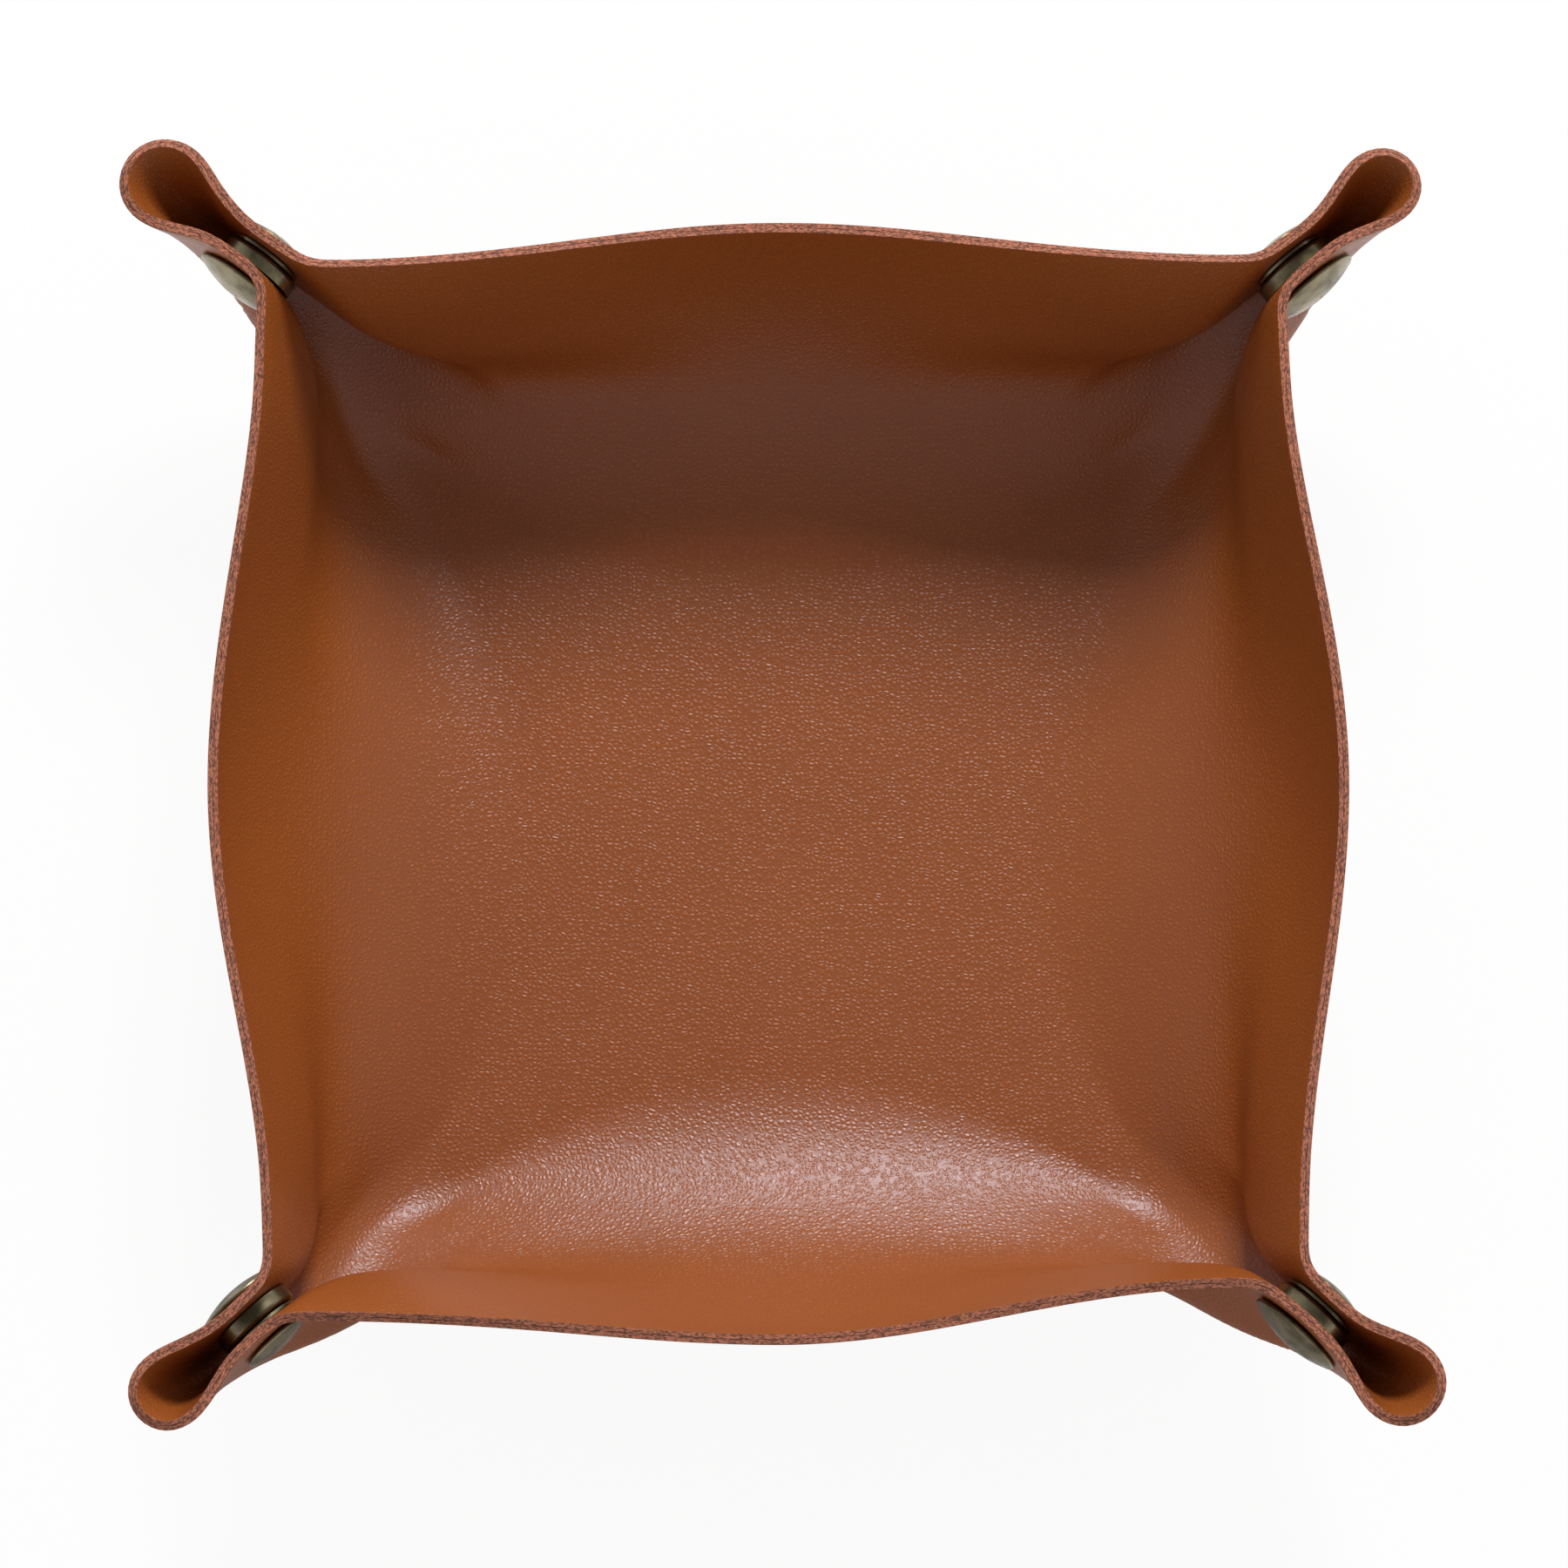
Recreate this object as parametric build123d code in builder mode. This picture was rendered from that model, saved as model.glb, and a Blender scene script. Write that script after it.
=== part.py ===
from build123d import *
import os
from math import acos, atan2, cos, degrees, hypot, pi, radians, sin, tan

os.makedirs("parts", exist_ok=True)

# The tray is one square sheet of two leather plies glued back to back. Its walls are bent up all round, and
# each corner is pinched to an ear by a ring-spring snap that joins the two walls beside it.
# Origin: middle of the floor, on the surface that the tray rests on. +X right, +Y back, +Z up. Millimetres.

# Leather sheet
sheet_side = 200.0
ply_thickness = 0.75

# Walls: where the bend starts, its radius and its lean, at the middle of a wall and beside a corner, and
# how late a neck opens towards the rim
middle_floor_half = 34.3
wall_bend = 44.4
wall_lean = 83.0
corner_floor_half = 51.8
corner_bend = 13.0
corner_lean = 84.0
rim_dip = 1.8
foot_rounding = 12.0
neck_fillet = 11.0
neck_flare_power = 3.5

# Snaps: place along the edge from the sheet's corner, and how far the cap sits below the rim
snap_from_corner = 26.0
cap_below_rim = 2.2

# Cap with its rivet post
cap_diameter = 14.2
cap_height = 2.1
cap_edge_height = 0.7
post_diameter = 3.4
post_bore = 2.3
post_hole_clearance = 0.1
seat_clearance = 0.27
rivet_flare = 0.4
rivet_lip = 0.2

# Socket
socket_diameter = 12.2
socket_height = 2.2
socket_base = 0.4
socket_lip = 0.25
socket_shoulder = 0.7

# Ring spring in the socket's groove
spring_wire = 0.6
spring_mouth = 1.6
spring_play = 0.12

# Stud and its post
stud_flange_diameter = 11.0
stud_flange = 0.4
stud_head_diameter = 6.2
stud_neck_diameter = 5.2
stud_head_height = 1.75
stud_head_round = 0.2
stud_clearance = 0.25
stud_wall = 0.4
snap_gap = 0.2
stud_cap_diameter = 10.0
stud_cap_height = 1.4
stud_cap_edge_height = 0.6

# Cuts run past the faces that they open by this much
overrun = 4.0

# Each corner in shares of snap_from_corner: the seat's distance in from the rim across the x wall and the
# y wall, the ear's reach from the seat, the radius of its nose, and how far the rim is drawn in at the
# x wall's neck and the y wall's neck. The last value is the ear's angle from the x axis in degrees.
corner_shares = {
    "back_right": (0.225, 0.183, 0.785, 0.185, 0.306, 0.206, 38.8),
    "back_left": (0.237, 0.129, 0.842, 0.219, 0.263, 0.206, 37.0),
    "front_left": (0.244, 0.160, 0.815, 0.185, 0.306, 0.133, 42.0),
    "front_right": (0.198, 0.171, 0.831, 0.208, 0.254, 0.287, 42.7),
}
corner_signs = {"back_right": (1, 1), "back_left": (-1, 1), "front_left": (-1, -1), "front_right": (1, -1)}

# The wall that carries the cap and the socket at each corner; the other wall carries the stud
cap_walls = {"back_right": "x", "back_left": "x", "front_left": "x", "front_right": "y"}

# Sections of the leather from the floor up, each as shares: height of the rim, rounding of the foot, and
# for the pinched ones the ear's tip of its reach, its nose of the rim's nose, the gap between the leaves of
# the snap's gap, and the fillet of the neck's fillet. The last section stands above the rim, to be trimmed.
foot_section_shares = [(0.0, 1.0), (0.032, 0.92), (0.123, 0.75)]
ear_section_shares = [
    (0.267, -0.47, 1.28, 4.1, 0.73),
    (0.44, 0.0, 0.92, 2.4, 0.73),
    (0.56, 0.265, 0.62, 1.3, 0.82),
    (0.76, 0.62, 0.65, 1.0, 0.38),
    (0.88, 0.81, 0.81, 1.0, 0.42),
    (1.0, 1.0, 1.0, 1.0, 1.0),
    (1.08, 1.13, 1.1, 1.0, 1.03),
]

# Places of an outline's points, as shares of the stretch that they lie on
wall_place_shares = (0.0, 0.3, 0.6, 0.85)
leaf_place_shares = (0.35, 0.7)
flat_leaf_share = 0.17
longest_cut_share = 0.45
foot_lead_shares = (0.5, 0.3, 0.1)
foot_turn_shares = (0.0, 0.25, 0.5, 0.75, 1.0)
dip_end_share = 0.6

# Sizes that follow from the ones above
leather = 2 * ply_thickness
half = sheet_side / 2
lean = radians(wall_lean)
side_lean = radians(corner_lean)
wall_flat = half - middle_floor_half - wall_bend * lean
rim_height = wall_bend * (1 - cos(lean)) + wall_flat * sin(lean) + rim_dip
leaf_gap = (socket_height + snap_gap + stud_flange + leather) / 2 + seat_clearance
seat_height = ply_thickness + rim_height - cap_below_rim - cap_diameter / 2
inner_face = leaf_gap - ply_thickness - seat_clearance
outer_face = leaf_gap + ply_thickness + seat_clearance
post_radius = post_diameter / 2
post_hole = post_radius + post_hole_clearance

# Places along a snap's axis, from the middle between the leaves: the base that each post's flare holds,
# the socket's mouth, its groove, the spring in it, and the stud's flange and top
held_face = inner_face - socket_base
mouth = inner_face - socket_height
groove_start = mouth + socket_lip
groove_end = groove_start + spring_wire + 2 * spring_play
spring_place = (groove_start + groove_end) / 2
flange_face = stud_flange - inner_face
stud_top = flange_face + stud_head_height

# Radii that follow from the stud's
neck_radius = stud_neck_diameter / 2
head_radius = stud_head_diameter / 2
mouth_radius = head_radius + stud_clearance
spring_radius = neck_radius + spring_play + spring_wire / 2
groove_radius = head_radius + spring_wire + spring_play


def wall_out(height, bend, angle):
    """How far a bent wall has run out from the start of its bend at a height."""
    bend_top = bend * (1 - cos(angle))
    if height < bend_top:
        return bend * sin(acos(1 - height / bend))
    return bend * sin(angle) + (height - bend_top) / tan(angle)


rim_half = middle_floor_half + wall_out(rim_height, wall_bend, lean)


def neck_at(height, drawn_in):
    """Place of the wall beside a corner at a height; at the rim it is drawn in from the wall's middle."""
    plain = corner_floor_half + wall_out(height, corner_bend, side_lean)
    plain_rim = corner_floor_half + wall_out(rim_height, corner_bend, side_lean)
    return plain + (rim_half - drawn_in - plain_rim) * (height / rim_height) ** neck_flare_power


class Corner:
    """One pinched corner, worked out in the first quadrant and mirrored to its own by its signs."""

    def __init__(self, name):
        places = [share * snap_from_corner for share in corner_shares[name][:6]]
        self.name = name
        self.seat = (rim_half - places[0], rim_half - places[1])
        self.reach = places[2]
        self.nose = places[3]
        self.neck_in = (places[4], places[5])
        self.angle = radians(corner_shares[name][6])
        self.signs = corner_signs[name]

    def quarter(self, section, offset):
        """Points of a section from the middle of the x wall, round the ear, to the middle of the y wall."""
        x_side = self.half(section, offset, self.seat, self.neck_in, self.angle)
        swapped_seat = (self.seat[1], self.seat[0])
        swapped_neck = (self.neck_in[1], self.neck_in[0])
        y_side = self.half(section, offset, swapped_seat, swapped_neck, pi / 2 - self.angle)
        points = x_side + [(y, x) for x, y in reversed(y_side[:-1])]
        return [(self.signs[0] * x, self.signs[1] * y) for x, y in points]

    def half(self, section, offset, seat, neck_in, angle):
        """Points of a section from the middle of the x wall to the ear's tip."""
        height = section[0] * rim_height
        middle = middle_floor_half + wall_out(height, wall_bend, lean) + offset
        neck = neck_at(height, neck_in[0]) + offset
        if len(section) == 2:
            corner_points = foot_half(section, offset, neck, neck_at(height, neck_in[1]) + offset)
        else:
            corner_points = self.ear_half(section, offset, seat, angle, neck)
        wall_end = corner_points[0][1]
        wall_points = []
        for share in wall_place_shares:
            bulge = (middle - neck) * (1 + cos(pi * share)) / 2
            wall_points.append((neck + bulge, wall_end * share))
        return wall_points + corner_points

    def ear_half(self, section, offset, seat, angle, neck):
        """The neck's fillet, the leaf, the nose and the tip of an ear, as pairs of (along the ear, out)."""
        along = (cos(angle), sin(angle))
        out = (sin(angle), -cos(angle))
        nose = section[2] * self.nose + offset
        nose_centre = section[1] * self.reach - section[2] * self.nose
        leaf = section[3] * leaf_gap + offset
        fillet = section[4] * neck_fillet - offset
        knee = ((neck - seat[0] - leaf * out[0]) / along[0], leaf)
        nose_turn = pi / 2
        leaf_turn = 0
        if nose <= leaf:
            to_knee = hypot(knee[0] - nose_centre, leaf)
            nose_turn = min(atan2(leaf, knee[0] - nose_centre) - acos(nose / to_knee), pi / 2)
            leaf_turn = pi / 2 - nose_turn
        nose_end = (nose_centre + nose * cos(nose_turn), nose * sin(nose_turn))
        turn = pi / 2 - angle - leaf_turn
        leaf_length = hypot(nose_end[0] - knee[0], nose_end[1] - knee[1])
        cut = min(fillet * tan(turn / 2), leaf_length * longest_cut_share)
        leaf_start = (knee[0] + cut * cos(leaf_turn), knee[1] - cut * sin(leaf_turn))
        wall_end = (knee[0] - cut * sin(angle), knee[1] + cut * cos(angle))
        inward = leaf_turn + turn / 2 + pi / 2
        fillet_middle = (knee[0] + cut * tan(turn / 4) * cos(inward), knee[1] + cut * tan(turn / 4) * sin(inward))
        local = [wall_end, fillet_middle, leaf_start]
        flat_end = flat_leaf_share * snap_from_corner
        for share in leaf_place_shares:
            place = leaf_start[0] + (nose_end[0] - leaf_start[0]) * share
            rise = share
            if nose > leaf:
                rise = smooth_step((place - flat_end) / (nose_end[0] - flat_end))
            local.append((place, leaf_start[1] + (nose_end[1] - leaf_start[1]) * rise))
        local.append(nose_end)
        local.append((nose_centre + nose * cos(nose_turn / 2), nose * sin(nose_turn / 2)))
        local.append((nose_centre + nose, 0))
        points = []
        for place, gap in local:
            points.append((seat[0] + place * along[0] + gap * out[0], seat[1] + place * along[1] + gap * out[1]))
        return points

    def snap_plane(self):
        """Plane of the snap's profiles: X along the radius, Y along the axis towards the cap."""
        side = 1 if cap_walls[self.name] == "x" else -1
        axis_x = side * sin(self.angle) * self.signs[0]
        axis_y = -side * cos(self.angle) * self.signs[1]
        origin = (self.seat[0] * self.signs[0], self.seat[1] * self.signs[1], seat_height)
        return Plane(origin=origin, x_dir=(0, 0, 1), z_dir=(-axis_y, axis_x, 0))

    def axis_plane(self):
        """Plane across the snap's axis, in the middle between the leaves, facing the cap."""
        plane = self.snap_plane()
        return Plane(origin=plane.origin, x_dir=plane.x_dir, z_dir=plane.y_dir)


def smooth_step(share):
    share = min(max(share, 0), 1)
    return share * share * (3 - 2 * share)


def foot_half(section, offset, neck, other_neck):
    """A plain rounded corner between the two walls, for the sections below the ear."""
    radius = section[1] * foot_rounding + offset
    centre = (neck - radius, other_neck - radius)
    points = []
    for share in foot_lead_shares:
        points.append((neck, centre[1] - radius * share))
    for share in foot_turn_shares:
        turn = share * pi / 4
        points.append((centre[0] + radius * cos(turn), centre[1] + radius * sin(turn)))
    return points


def bowl_sections(face):
    """Sections of one face of the leather: -1 is the outside, 0 the glue line, 1 the inside.

    The one above the rim lies at the same level on all three, so that a flat rim can close a ply.
    """
    for section in foot_section_shares + ear_section_shares:
        height = section[0] * rim_height
        slope = min(acos(max(1 - height / wall_bend, -1)), lean)
        level = height + ply_thickness * (1 + face * cos(slope))
        if height > rim_height:
            level = height + ply_thickness
        yield section, level, -face * ply_thickness * sin(slope)


def bowl(face):
    """A solid filled up to one face of the leather, from the floor to above the rim."""
    with BuildPart() as solid:
        for section, level, offset in bowl_sections(face):
            with BuildSketch(Plane.XY.offset(level)):
                with BuildLine():
                    for corner in corners:
                        sign_x, sign_y = corner.signs
                        Spline(*corner.quarter(section, offset), tangents=[(0, sign_y), (-sign_x, 0)])
                make_face()
        loft()
    return solid.part


def skin(outer, inner):
    """The solid between two bowls, closed by a flat rim between their tops."""
    outer_top = outer.faces().sort_by(Axis.Z)[-1]
    inner_top = inner.faces().sort_by(Axis.Z)[-1]
    rim = Face(outer_top.outer_wire(), [inner_top.outer_wire()])
    sides = [face for face in outer.faces() + inner.faces() if face not in (outer_top, inner_top)]
    return Solid(Shell(sides + [rim]))


def rivet(corner, side, radius, height, edge, held):
    """A domed head on the leather's outside, whose hollow post is flared in the piece that it holds."""
    seat = side * outer_face
    top = side * (outer_face + height)
    edge_top = side * (outer_face + edge)
    edge_start = radius - edge / 2
    flare_end = side * (held - rivet_lip)
    flare = post_radius + rivet_flare
    plane = corner.snap_plane()
    with BuildPart() as piece:
        with BuildSketch(plane):
            with BuildLine():
                TangentArc((0, top), (edge_start, edge_top), tangent=(1, 0))
                ThreePointArc((edge_start, edge_top), (radius, (edge_top + seat) / 2), (edge_start, seat))
                Polyline(
                    (edge_start, seat),
                    (post_radius, seat),
                    (post_radius, side * held),
                    (flare, side * held),
                    (flare, flare_end),
                    (post_bore / 2, flare_end),
                    (post_bore / 2, seat),
                    (0, seat),
                    (0, top),
                )
            make_face()
        revolve(axis=Axis(plane.origin, plane.y_dir))
    return piece


def socket(corner):
    """The turned cup with its rolled shoulder, its mouth for the stud and its groove for the spring."""
    outer = socket_diameter / 2
    plane = corner.snap_plane()
    with BuildPart() as piece:
        with BuildSketch(plane):
            with BuildLine():
                Line((outer, inner_face), (outer, mouth + socket_shoulder))
                RadiusArc((outer, mouth + socket_shoulder), (outer - socket_shoulder, mouth), socket_shoulder)
                Polyline(
                    (outer - socket_shoulder, mouth),
                    (mouth_radius, mouth),
                    (mouth_radius, groove_start),
                    (groove_radius, groove_start),
                    (groove_radius, groove_end),
                    (mouth_radius, groove_end),
                    (mouth_radius, held_face),
                    (post_hole, held_face),
                    (post_hole, inner_face),
                    (outer, inner_face),
                )
            make_face()
        revolve(axis=Axis(plane.origin, plane.y_dir))
    return piece


def ring_spring(corner):
    """The split wire ring that lies in the socket's groove, round the stud's neck."""
    plane = corner.snap_plane()
    open_angle = degrees(spring_mouth / spring_radius)
    with BuildPart() as piece:
        with BuildSketch(plane):
            with Locations((spring_radius, spring_place)):
                Circle(spring_wire / 2)
        revolve(axis=Axis(plane.origin, plane.y_dir), revolution_arc=360 - open_angle)
    return piece


def stud(corner):
    """The flanged tube with a rolled head, open at its top, where its rivet was set."""
    bore = neck_radius - stud_wall
    head_start = groove_end + spring_play
    roll = stud_top - stud_head_round
    plane = corner.snap_plane()
    with BuildPart() as piece:
        with BuildSketch(plane):
            with BuildLine():
                Polyline(
                    (bore, stud_top),
                    (bore, flange_face),
                    (post_hole, flange_face),
                    (post_hole, -inner_face),
                    (stud_flange_diameter / 2, -inner_face),
                    (stud_flange_diameter / 2, flange_face),
                    (neck_radius, flange_face),
                    (neck_radius, spring_place),
                    (head_radius, head_start),
                    (head_radius, roll),
                )
                RadiusArc((head_radius, roll), (head_radius - stud_head_round, stud_top), -stud_head_round)
                Line((head_radius - stud_head_round, stud_top), (bore, stud_top))
            make_face()
        revolve(axis=Axis(plane.origin, plane.y_dir))
    return piece


corners = [Corner(name) for name in corner_signs]

# Everything above the rim, which dips along the middle of each wall
crest = ply_thickness + rim_height
dip_half = rim_half - snap_from_corner * dip_end_share
with BuildPart() as above_rim:
    with BuildSketch(Plane.XY.offset(crest)):
        Rectangle(sheet_side, sheet_side)
    extrude(amount=rim_height)
    for plane in (Plane.XZ, Plane.YZ):
        with BuildSketch(plane):
            with BuildLine():
                ThreePointArc((-dip_half, crest), (0, crest - rim_dip), (dip_half, crest))
                Line((dip_half, crest), (-dip_half, crest))
            make_face()
        extrude(amount=half, both=True)

# Each snap's post hole through the leather, and the room that its heads need where the leather curves past
with BuildPart() as post_holes:
    for corner in corners:
        with BuildSketch(corner.axis_plane()):
            Circle(post_hole)
        extrude(amount=outer_face + overrun, both=True)
with BuildPart() as head_room:
    for corner in corners:
        with BuildSketch(corner.axis_plane().offset(outer_face)):
            Circle(cap_diameter / 2 + seat_clearance)
        extrude(amount=overrun)
        with BuildSketch(corner.axis_plane().offset(-outer_face)):
            Circle(stud_cap_diameter / 2 + seat_clearance)
        extrude(amount=-overrun)

outside = bowl(-1)
glue_line = bowl(0)
inside = bowl(1)

with BuildPart() as outer_leather:
    add(skin(outside, glue_line))
    add(above_rim.part, mode=Mode.SUBTRACT)
    add(post_holes.part, mode=Mode.SUBTRACT)
    add(head_room.part, mode=Mode.SUBTRACT)
outer_leather.part.label = "outer_leather"
export_step(outer_leather.part, "parts/outer_leather.step")

with BuildPart() as inner_leather:
    add(skin(glue_line, inside))
    add(above_rim.part, mode=Mode.SUBTRACT)
    add(post_holes.part, mode=Mode.SUBTRACT)
    add(head_room.part, mode=Mode.SUBTRACT)
inner_leather.part.label = "inner_leather"
export_step(inner_leather.part, "parts/inner_leather.step")

for corner in corners:
    pieces = {
        "cap": rivet(corner, 1, cap_diameter / 2, cap_height, cap_edge_height, held_face),
        "socket": socket(corner),
        "ring_spring": ring_spring(corner),
        "stud": stud(corner),
        "stud_post": rivet(corner, -1, stud_cap_diameter / 2, stud_cap_height, stud_cap_edge_height, -flange_face),
    }
    for kind, piece in pieces.items():
        piece.part.label = f"{kind}_{corner.name}"
        export_step(piece.part, f"parts/{kind}_{corner.name}.step")
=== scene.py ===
from math import acos, atan2, cos, hypot, pi, radians, sin, tan

import bmesh
import bpy
import numpy as np
from bpy.props import FloatProperty, FloatVectorProperty, IntProperty, PointerProperty
from mathutils import Matrix, Vector


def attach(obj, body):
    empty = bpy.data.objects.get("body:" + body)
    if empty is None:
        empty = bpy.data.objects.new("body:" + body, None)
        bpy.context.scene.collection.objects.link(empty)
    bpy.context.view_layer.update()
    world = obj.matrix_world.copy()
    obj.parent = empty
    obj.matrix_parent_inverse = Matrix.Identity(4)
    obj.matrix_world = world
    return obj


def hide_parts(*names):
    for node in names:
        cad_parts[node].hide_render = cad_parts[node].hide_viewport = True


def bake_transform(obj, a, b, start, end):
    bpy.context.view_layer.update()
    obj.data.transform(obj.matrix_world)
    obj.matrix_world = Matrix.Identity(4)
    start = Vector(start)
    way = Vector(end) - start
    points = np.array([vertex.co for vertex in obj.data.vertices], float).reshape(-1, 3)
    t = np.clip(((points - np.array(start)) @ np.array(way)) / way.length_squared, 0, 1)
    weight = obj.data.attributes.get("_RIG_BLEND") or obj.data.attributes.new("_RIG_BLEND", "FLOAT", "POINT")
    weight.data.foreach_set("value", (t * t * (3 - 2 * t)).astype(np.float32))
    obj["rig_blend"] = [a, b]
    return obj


bl_info = {
    "name": "Snap tray",
    "version": (1, 0, 0),
    "blender": (4, 5, 0),
    "location": "3D View > Sidebar > Snap tray",
    "description": "A two-ply leather tray with pinched corners, its snaps and a plain stage",
    "category": "Add Mesh",
}

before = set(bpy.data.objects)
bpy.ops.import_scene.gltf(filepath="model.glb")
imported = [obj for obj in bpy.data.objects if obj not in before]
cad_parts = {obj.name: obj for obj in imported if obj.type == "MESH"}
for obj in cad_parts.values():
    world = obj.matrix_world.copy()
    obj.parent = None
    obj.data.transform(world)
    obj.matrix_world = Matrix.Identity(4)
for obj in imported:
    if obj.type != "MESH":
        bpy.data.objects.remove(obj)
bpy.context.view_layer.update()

CORNERS = {"back_right": (1, 1), "back_left": (-1, 1), "front_left": (-1, -1), "front_right": (1, -1)}
CORNER_AT = {(x > 0, y > 0): number for number, (x, y) in enumerate(CORNERS.values())}
CAP_ON_X_WALL = {"back_right": True, "back_left": True, "front_left": True, "front_right": False}

# Each corner in shares of the snap's distance from the sheet's corner: the seat's distance in from
# the rim across the x wall and the y wall, the ear's reach from the seat, the radius of its nose, and
# how far the rim is drawn in at the x wall's neck and the y wall's. The last value is the ear's angle
# in degrees.
CORNER_SHARES = {
    "back_right": (0.225, 0.183, 0.785, 0.185, 0.306, 0.206, 38.8),
    "back_left": (0.237, 0.129, 0.842, 0.219, 0.263, 0.206, 37.0),
    "front_left": (0.244, 0.160, 0.815, 0.185, 0.306, 0.133, 42.0),
    "front_right": (0.198, 0.171, 0.831, 0.208, 0.254, 0.287, 42.7),
}

# Sections of the leather from the floor up: each has its height, then the rounding of the floor's
# corner, or the ear's tip, nose, gap between the leaves and neck fillet, as shares of their full size
FOOT_SHARES = [(0.0, 1.0), (0.032, 0.92), (0.123, 0.75)]
EAR_SHARES = [
    (0.267, -0.47, 1.28, 4.1, 0.73),
    (0.44, 0.0, 0.92, 2.4, 0.73),
    (0.56, 0.31, 0.52, 1.3, 0.82),
    (0.76, 0.68, 0.54, 1.0, 0.38),
    (0.88, 0.85, 0.74, 1.0, 0.42),
    (1.0, 1.0, 1.0, 1.0, 1.0),
    (1.08, 1.13, 1.1, 1.0, 1.03),
]

# Where a section has its points: along a wall, along a leaf, before a corner of the floor, round it
WALL_PLACE_SHARES = (0.0, 0.3, 0.6, 0.85)
LEAF_PLACE_SHARES = (0.35, 0.7)
FOOT_LEAD_SHARES = (0.5, 0.3, 0.1)
FOOT_TURN_SHARES = (0.0, 0.25, 0.5, 0.75, 1.0)

# A leaf's bend: the share of its starting height below which no face is looked at, the share of the
# bend from which a face belongs to it, and the share of the arris within which a vertex is on the seam
LOW_SHARE = 0.8
BEND_FROM_SHARE = -0.3
CUT_NEAR_SHARE = 0.01

# Depth through the sheet, from 0 under the tray to 1 on its lining
GLUE_DEPTH = 0.5
FACE_FROM_GLUE = 0.4999

# What a face of a ply is
KIND_SKIN, KIND_ARRIS, KIND_EDGE, KIND_GLUE, KIND_SEAL = range(5)

# Leather's pattern. The drift moves the pebbles: its rate per pebble and its reach in pebbles. Levels
# are where a pattern's value starts to count and where it counts whole. The fibres change through the
# sheet's depth as they do over this many plies of its surface.
DRIFT_RATE = 0.4
DRIFT_REACH = 0.8
PEBBLE_RANDOMNESS = 0.9
PEBBLE_LEVELS = (0.0, 0.45)
FINE_GRAIN_SHARE = 0.25
BLOTCH_SIZE = 0.03
FIBRE_PLIES = 6
FIBRE_LEVELS = (0.4, 0.6)
GLUE_GAP_SIZE = 0.0025
GLUE_GAP_LEVELS = (0.42, 0.56)

# The skin begins, and the line of glue ends, at these depths from the middle of the sheet
SKIN_LEVELS = (0.455, 0.475)
GLUE_LEVELS = (0.012, 0.05)

# How strongly each pattern colours the leather, raises it and changes its roughness
# The valleys' tone is painted shade: between the pebbles the leather's colour is darkened where shade falls
VALLEY_SHADE_TONE = 0.7
DARKEST_BLOTCH, BLOTCH_RANGE = 0.9, 0.2
DARK_FIBRE_SHARE = 0.28
FINE_HEIGHT, FIBRE_HEIGHT = 0.1, 2.0
SKIN_ROUGHNESS, FINE_ROUGHNESS, PEBBLE_SMOOTHNESS = 0.35, 0.06, 0.04
EDGE_ROUGHNESS = 0.85
LEATHER_SPECULAR = 0.6

# Metal's patterns: their sizes, the levels of the dark film, and the roughness of each
FILM_SIZE = 0.004
FILM_LEVELS = (0.35, 0.7)
BRASS_FINE_SIZE = 0.0004
BRASS_ROUGHNESS, FILM_ROUGHNESS, BRASS_FINE_ROUGHNESS = 0.2, 0.14, 0.08
WIRE_FINE_SIZE = 0.0003
WIRE_ROUGHNESS, WIRE_FINE_ROUGHNESS = 0.25, 0.15

WHITE = (1, 1, 1)


def length(name, metres, description):
    return FloatProperty(
        name=name, description=description, default=metres, min=0, unit="LENGTH", precision=5
    )


def angle(name, degrees, description):
    return FloatProperty(
        name=name, description=description, default=radians(degrees), unit="ROTATION"
    )


def amount(name, value, description):
    return FloatProperty(name=name, description=description, default=value)


def linear(red, green, blue):
    """A colour's linear values from its 8-bit screen values."""
    shares = [value / 255 for value in (red, green, blue)]
    return [s / 12.92 if s <= 0.04045 else ((s + 0.055) / 1.055) ** 2.4 for s in shares]


def colour(name, screen, description):
    return FloatVectorProperty(
        name=name, description=description, default=linear(*screen), subtype="COLOR", min=0, max=1
    )


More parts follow.
